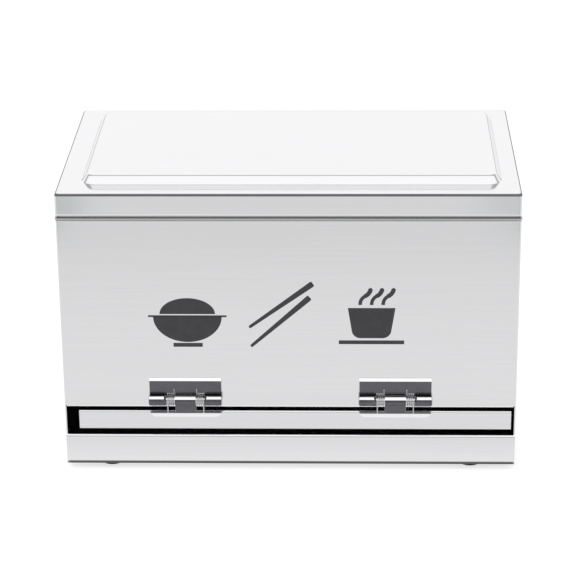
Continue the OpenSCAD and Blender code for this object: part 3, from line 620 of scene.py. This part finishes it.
def makeLowerLeaf():
    half, roll, bore = hinge["width"] / 2, hinge["turningRoll"], hinge["bore"]
    top, bottom = -hinge["lowerTop"], -hinge["lowerReach"]
    middle, clip, bevel = hinge["middle"] / 2, hinge["clip"], hinge["lowerBevel"]
    piece = startLeaf("lowerLeaf", bottom, top, roll, middle)
    pick("EDGE", lambda x, y, z: near(z, top) and abs(x) < middle + slack)
    pullOut(0, 0, -top)
    spinOn(hinge["curl"], steps=26, centre=(0, 0, 0))
    # the lower corners are clipped off
    pick("VERT", lambda x, y, z: near(z, bottom) and near(abs(x), half))
    bpy.ops.mesh.bevel(offset=clip * mm, segments=1, affect="VERTICES")
    thickenLeaf(piece, roll)
    # the plate's lower end is ground back to a thin edge, and the clipped corners with it
    pick("FACE", lambda x, y, z: near(y, bore) and z < top + slack, lambda n: n.y < -0.9)
    cutAt((0, 0, bottom + bevel), (0, 0, 1))
    depth = roll - bore - hinge["edgeThickness"]
    for height, back in ((bottom, depth), (bottom + clip, depth * (1 - clip / bevel))):
        pick("VERT", lambda x, y, z: near(y, bore) and near(z, height))
        moveBy(0, back, 0)
    # the bevel and the barrel's top and bottom are painted bright as highlights
    paintHighlights(piece, bottom, bottom + bevel)
    stopShaping()
    finishLeaf(piece)
    return piece


# pin with a flattened, rounded and slightly dished head at each end
pin = {"radius": 2.1, "head": 2.6, "headThickness": 0.4, "play": 0.1, "dishRim": 0.5, "dish": 0.12, "edge": 0.12}


def makePin():
    bpy.ops.object.select_all(action="DESELECT")
    length = hinge["width"] + pin["play"]
    bpy.ops.mesh.primitive_cylinder_add(vertices=40, radius=pin["radius"] * mm, depth=length * mm,
                                        rotation=(0, math.pi / 2, 0))
    piece = bpy.context.object
    piece.name = "hingePin"
    bakePlace(piece)
    startShaping(piece)
    wider = pin["head"] / pin["radius"]
    for end in (-1, 1):
        pick("FACE", lambda x, y, z: near(x, end * length / 2))
        bpy.ops.mesh.extrude_region()
        bpy.ops.transform.resize(value=(1, wider, wider))
        pullOut(end * pin["headThickness"], 0, 0)
        bpy.ops.mesh.inset(thickness=pin["dishRim"] * mm, depth=pin["dish"] * mm)
    stopShaping()
    softenEdges(piece, pin["edge"], angle=40)
    smooth(piece, 30)
    dress(piece, turnedSteel)
    return piece


# torsion spring: hard-drawn wire wound round the pin, a leg on each leaf
# elbow: how far out and how high the wire's middle runs where a leg bends into the coil
spring = {"wire": 0.8, "radius": 2.8, "pitch": 1.25, "turns": 3.25, "start": 7.05, "startAngle": 45, "legOut": 1.7,
          "legUp": 7.4, "legDown": 9.4, "elbow": ((0, 3.1), (0.01, 2.7), (0.06, 2.38), (0.15, 2.14)),
          "pointsPerTurn": 20}


def makeSpring(name, side, hand):
    turns, coil, out = spring["turns"], spring["radius"], spring["legOut"]
    across = spring["pitch"] * turns
    steps = round(turns * spring["pointsPerTurn"])
    elbow = [(out + further, height) for further, height in spring["elbow"]]
    points = [(0, out, spring["legUp"])] + [(0, y, z) for y, z in elbow]
    for step in range(steps + 1):
        angle = math.radians(spring["startAngle"] - 360 * turns * step / steps)
        points.append((across * step / steps, coil * math.cos(angle), coil * math.sin(angle)))
    points += [(across, y, -z) for y, z in reversed(elbow)] + [(across, out, -spring["legDown"])]
    bpy.ops.object.select_all(action="DESELECT")
    bpy.ops.curve.primitive_nurbs_path_add()
    piece = bpy.context.object
    piece.name = name
    wire = piece.data
    wire.splines.clear()
    line = wire.splines.new("POLY")
    line.points.add(len(points) - 1)
    for point, (x, y, z) in zip(line.points, points):
        place = (hinge["places"][side] + hand * (spring["start"] + x), hinge["axisY"] + y, hinge["axisZ"] + z)
        point.co = [c * mm for c in place] + [1]
    wire.bevel_depth = spring["wire"] / 2 * mm
    wire.bevel_resolution = 3
    wire.use_fill_caps = True
    only(piece)
    bpy.ops.object.convert(target="MESH")
    smooth(piece, 50)
    dress(piece, drawnWire)
    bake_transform(piece)


def placeHinges():
    upper, lower, axle = makeUpperLeaf(), makeLowerLeaf(), makePin()
    for side, x in hinge["places"].items():
        place = (x, hinge["axisY"], hinge["axisZ"])
        settle(copyOf(upper, side + "_upper_leaf", *place), "body", "hinge_chrome", side + "_flap_upper_leaf")
        settle(copyOf(lower, side + "_lower_leaf", *place), "flap", "hinge_chrome", side + "_flap_lower_leaf")
        settle(copyOf(axle, side + "_pin", *place), "body", "fastener_steel", side + "_flap_pin")
        for which, hand in (("outer", 1 if x > 0 else -1), ("inner", -1 if x > 0 else 1)):
            name = side + "_" + which + "_spring"
            makeSpring(name, side, hand)
            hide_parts(side + "_flap_" + which + "_spring")
    for piece in (upper, lower, axle):
        only(piece)
        bpy.ops.object.delete()


placeHinges()
print("flap hinges and springs made")


# printed sign on the front: a rice bowl, a pair of chopsticks and a cup, in flat ink, in millimetres
# a bar is given as left, lower, right and upper edge, counted from its mark's place
sign = {"front": -82.7418, "into": 0.02, "proud": 0.05}
bowl = {"place": (-62, 104), "radius": 21, "squash": 0.8, "rice": 17, "riceRise": 1.8, "riceSquash": -0.62,
        "foot": (-9, -20, 9, -17.4), "brim": (-24, -0.2, 24, 1)}
sticks = {"place": (-6, 106), "reach": 25, "half": 1.9, "risesAndTurns": ((-5.5, -41), (6, -34)), "taper": 0.5,
          "taperFrom": 16, "rounding": 0.9}
cup = {"place": (50.5, 104), "wall": (-14.5, -14, 14.5, 6), "taper": 0.78, "rounding": 4.5,
       "saucer": (-20, -18, 20, -15.5), "steam": (-7, 0, 7), "steamRise": 8}
steam = {"width": 2.2, "bend": 6, "stub": 0.6, "turn": 62, "steps": 7, "swell": 1.25, "tip": 0.3}


def inkFace(x0, z0, x1, z1, turned=0):
    piece = addFrontPlane("inkMark", -(x1 - x0) / 2, -(z1 - z0) / 2, (x1 - x0) / 2, (z1 - z0) / 2, 0)
    piece.rotation_euler.y = math.radians(turned)
    piece.location = ((x0 + x1) / 2 * mm, 0, (z0 + z1) / 2 * mm)
    bakePlace(piece)
    return piece


def inkBar(place, edges):
    (x, z), (left, low, right, high) = place, edges
    return inkFace(x + left, z + low, x + right, z + high)


# half of a flattened disc: the lower half, or the upper one where squash is below 0
def inkHalfDisc(x, z, radius, squash):
    bpy.ops.object.select_all(action="DESELECT")
    bpy.ops.mesh.primitive_circle_add(vertices=64, radius=radius * mm, fill_type="NGON", location=(x * mm, 0, z * mm),
                                      rotation=(math.pi / 2, 0, 0))
    piece = bpy.context.object
    piece.scale = (1, abs(squash), 1)
    bakePlace(piece)
    startShaping(piece)
    selectWhole()
    cutAt((0, 0, z), (0, 0, 1), clear_outer=squash > 0, clear_inner=squash < 0)
    stopShaping()
    return piece


# a curl of steam: a short bar carried round one bend and back round the next
def inkCurl(x, z):
    width, bend, turn, steps = (steam[size] for size in ("width", "bend", "turn", "steps"))
    bendFrom = z + steam["stub"]
    piece = inkFace(x - width / 2, z, x + width / 2, bendFrom)
    startShaping(piece)
    pick("EDGE", lambda a, b, c: near(c, bendFrom))
    spinOn(-turn, steps, (x + bend, 0, bendFrom), (0, -1, 0))
    bpy.ops.transform.resize(value=(steam["swell"], 1, steam["swell"]))
    end = [v.co.copy() / mm for v in bmesh.from_edit_mesh(piece.data).verts if v.select]
    middle = sum(end, Vector()) / len(end)
    tilt = math.radians(turn)
    spinOn(turn, steps, (middle.x - bend * math.cos(tilt), 0, middle.z + bend * math.sin(tilt)), (0, -1, 0))
    bpy.ops.transform.resize(value=(steam["tip"], 1, steam["tip"]))
    stopShaping()
    return piece


# a chopstick: it tapers to its tip, and its ends are rounded
def inkStick(rise, turned):
    (x, z), reach, half, aside = (sticks[size] for size in ("place", "reach", "half", "taperFrom"))
    piece = inkFace(x - reach, z - half + rise, x + reach, z + half + rise, turned)
    startShaping(piece)
    pick("VERT", lambda a, b, c: a < x)
    bpy.ops.transform.resize(value=(sticks["taper"], 1, sticks["taper"]),
                             center_override=((x - aside) * mm, 0, (z + rise - aside) * mm))
    pick("VERT", lambda a, b, c: True)
    bpy.ops.mesh.bevel(offset=sticks["rounding"] * mm, segments=5, affect="VERTICES")
    stopShaping()
    return piece


# the cup's wall narrows downwards to rounded lower corners
def inkCup():
    x, z = cup["place"]
    piece = inkBar(cup["place"], cup["wall"])
    startShaping(piece)
    pick("VERT", lambda a, b, c: c < z)
    bpy.ops.transform.resize(value=(cup["taper"], 1, 1), center_override=(x * mm, 0, z * mm))
    bpy.ops.mesh.bevel(offset=cup["rounding"] * mm, segments=10, affect="VERTICES")
    stopShaping()
    return piece


def makeSign():
    x, z = bowl["place"]
    marks = [inkHalfDisc(x, z, bowl["radius"], bowl["squash"]), inkBar((x, z), bowl["foot"]),
             inkHalfDisc(x, z + bowl["riceRise"], bowl["rice"], bowl["riceSquash"]), inkBar((x, z), bowl["brim"])]
    marks += [inkStick(rise, turned) for rise, turned in sticks["risesAndTurns"]]
    x, z = cup["place"]
    marks += [inkCup(), inkBar((x, z), cup["saucer"])]
    marks += [inkCurl(x + shift, z + cup["steamRise"]) for shift in cup["steam"]]
    piece = join(marks, "front_print")
    startShaping(piece)
    selectWhole()
    moveBy(0, sign["front"] + sign["into"], 0)
    pullOut(0, -sign["into"] - sign["proud"], 0)
    stopShaping()
    dress(piece, screenInk)
    return piece


settle(makeSign(), "body", None)
print("sign printed")


# everything that keeps its CAD shape gets its finish here
finishes = {
    polishedStainless: ["left_side_panel", "right_side_panel", "back_panel", "bottom_pan"],
    # the rim collar's mill grey is partly its finish and partly painted shade, darkening the groove under the bead
    millStainless: ["rim_collar", "slide_floor"],
    satinStainless: ["left_lid_hinge_body_leaf", "left_lid_hinge_lid_leaf",
                     "right_lid_hinge_body_leaf", "right_lid_hinge_lid_leaf"],
    turnedSteel: ["left_lid_hinge_pin", "right_lid_hinge_pin",
                  "body_leaf_rivets", "lid_leaf_rivets", "foot_screws", "foot_nuts"],
    mouldedRubber: ["front_left_foot", "front_right_foot", "back_left_foot", "back_right_foot"],
}
for material, nodes in finishes.items():
    for node in nodes:
        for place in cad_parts[node].material_slots:
            place.material = material
print("finishes given")


# studio: white paper floor, soft light, white background; lengths in metres
studio = {"floor": 6, "drop": 0.0003, "paper": 0.45, "glow": 0.68, "dome": 0.85, "room": 1.15,
          "lampPlace": (-0.7, -0.9, 1.5), "lampAim": (0, 0, 0.1), "lampPower": 9, "lampSize": 1.2}
# what polished steel sees of the paper: its tone along y, the slope of its two slanting ends and where they cross
# a line in front of the holder, the strip of darker table beyond those ends, and the holder's own shade
paper = {"from": -1, "to": 0.2,
         "tones": ((-1, 0.80), (-0.70, 0.78), (-0.585, 0.78), (-0.535, 0.80), (-0.52, 0.73), (-0.505, 0.755),
                   (-0.44, 0.80), (-0.33, 0.85), (-0.2, 0.87), (-0.17, 0.85), (-0.128, 0.84), (-0.112, 0.89),
                   (-0.096, 0.93), (0.2, 0.85)),
         "line": 0.518, "ends": ((0.29, 0.172, 1), (-0.167, -0.2, -1)), "blur": 0.004,
         "table": "#C3C8C7", "tableNear": (-0.43, -0.45), "tableFar": (-0.66, -0.6),
         "shade": 0.12, "shadeX": ((-0.143, -0.139), (0.143, 0.139)), "shadeY": ((-0.0945, -0.088), (0.083, 0.078))}
# the room round the holder by angle, from the level in front of it, up and over: pale below the level, dim behind
# the camera, a white card above it, a dimmer gap and a white card behind the holder
roomTones = ((-180, 0.4), (-174, 0.8), (-9, 0.76), (-5, 0.4), (26, 0.4), (31, 1.0), (60, 1.0), (98, 0.96), (104, 0.45),
             (136, 0.45), (146, 0.94), (172, 0.94), (177, 0.4))


# 0 to 1 as a value goes from start to end
def fade(tree, value, start, end):
    return addNode(tree, "ShaderNodeMapRange", {"Value": value, "From Min": start, "From Max": end}).outputs[0]


def combine(tree, operation, first, second):
    return addNode(tree, "ShaderNodeMath", {0: first, 1: second}, operation=operation).outputs[0]


def makeFloor():
    bpy.ops.object.select_all(action="DESELECT")
    bpy.ops.mesh.primitive_plane_add(size=studio["floor"], location=(0, 0, -studio["drop"]))
    floor = bpy.context.object
    floor.name = "paperFloor"
    material, tree = newMaterial("whitePaper")
    paths = addNode(tree, "ShaderNodeLightPath")
    place = addNode(tree, "ShaderNodeSeparateXYZ", {0: addNode(tree, "ShaderNodeTexCoord").outputs["Object"]})
    x, y = place.outputs[0], place.outputs[1]
    start, end = paper["from"], paper["to"]
    fall = addNode(tree, "ShaderNodeValToRGB", {0: fade(tree, y, start, end)})
    fillRamp(fall.color_ramp, [((spot - start) / (end - start), (tone, tone, tone, 1))
                               for spot, tone in paper["tones"]])
    beyond = []
    for slope, crossing, side in paper["ends"]:
        slant = addNode(tree, "ShaderNodeMath", {0: y, 1: slope, 2: crossing + paper["line"] * slope},
                        operation="MULTIPLY_ADD")
        past = combine(tree, "SUBTRACT", x, slant.outputs[0])
        beyond.append(fade(tree, past, -paper["blur"] * side, paper["blur"] * side))
    either = combine(tree, "MAXIMUM", *beyond)
    strip = combine(tree, "MULTIPLY", fade(tree, y, *paper["tableNear"]), fade(tree, y, *paper["tableFar"]))
    table = combine(tree, "MULTIPLY", either, strip)
    seen = addNode(tree, "ShaderNodeMix", {0: table, 6: fall.outputs[0], 7: colour(paper["table"])}, data_type="RGBA")
    across, deep = (combine(tree, "MULTIPLY", *(fade(tree, value, *edge) for edge in edges))
                    for value, edges in ((x, paper["shadeX"]), (y, paper["shadeY"])))
    under = combine(tree, "MULTIPLY", across, deep)
    shaded = addNode(tree, "ShaderNodeMix", {0: under, 6: seen.outputs[2], 7: (paper["shade"],) * 3 + (1,)},
                     data_type="RGBA")
    mirror = addNode(tree, "ShaderNodeEmission", {"Color": shaded.outputs[2], "Strength": 1})
    white = addNode(tree, "ShaderNodeBsdfDiffuse", {"Color": (studio["paper"],) * 3 + (1,)})
    glow = addNode(tree, "ShaderNodeEmission", {"Color": (1, 1, 1, 1), "Strength": studio["glow"]})
    plain = addNode(tree, "ShaderNodeAddShader", {0: white.outputs[0], 1: glow.outputs[0]})
    sharp = combine(tree, "MAXIMUM", paths.outputs["Is Glossy Ray"], paths.outputs["Is Transmission Ray"])
    mixed = addNode(tree, "ShaderNodeMixShader", {0: sharp, 1: plain.outputs[0], 2: mirror.outputs[0]})
    addNode(tree, "ShaderNodeOutputMaterial", {"Surface": mixed.outputs[0]})
    dress(floor, material)


def makeWorld():
    world = bpy.data.worlds.new("softStudio")
    bpy.context.scene.world = world
    world.use_nodes = True
    tree = world.node_tree
    tree.nodes.clear()
    paths = addNode(tree, "ShaderNodeLightPath")
    way = addNode(tree, "ShaderNodeSeparateXYZ", {0: addNode(tree, "ShaderNodeTexCoord").outputs["Generated"]})
    ahead = combine(tree, "MULTIPLY", way.outputs[1], -1)
    height = combine(tree, "ARCTAN2", way.outputs[2], ahead)
    room = addNode(tree, "ShaderNodeValToRGB", {0: fade(tree, height, -math.pi, math.pi)})
    fillRamp(room.color_ramp, [((angle + 180) / 360, (tone, tone, tone, 1)) for angle, tone in roomTones])
    mirror = addNode(tree, "ShaderNodeBackground", {"Color": room.outputs[0], "Strength": studio["room"]})
    white = addNode(tree, "ShaderNodeBackground", {"Color": (1, 1, 1, 1), "Strength": 1})
    dome = addNode(tree, "ShaderNodeBackground", {"Color": (1, 1, 1, 1), "Strength": studio["dome"]})
    shiny = addNode(tree, "ShaderNodeMixShader", {0: paths.outputs["Is Glossy Ray"], 1: dome.outputs[0],
                                                  2: mirror.outputs[0]})
    direct = combine(tree, "MAXIMUM", paths.outputs["Is Camera Ray"], paths.outputs["Is Transmission Ray"])
    mixed = addNode(tree, "ShaderNodeMixShader", {0: direct, 1: shiny.outputs[0], 2: white.outputs[0]})
    addNode(tree, "ShaderNodeOutputWorld", {"Surface": mixed.outputs[0]})


def makeLamp():
    bpy.ops.object.light_add(type="AREA", location=studio["lampPlace"])
    lamp = bpy.context.object
    lamp.name = "softLamp"
    lamp.data.energy = studio["lampPower"]
    lamp.data.size = studio["lampSize"]
    lamp.rotation_euler = (Vector(studio["lampAim"]) - lamp.location).to_track_quat("-Z", "Y").to_euler()
    lamp.visible_glossy = False


makeFloor()
makeWorld()
makeLamp()
bpy.context.scene.view_settings.view_transform = "Standard"
print("studio lit")
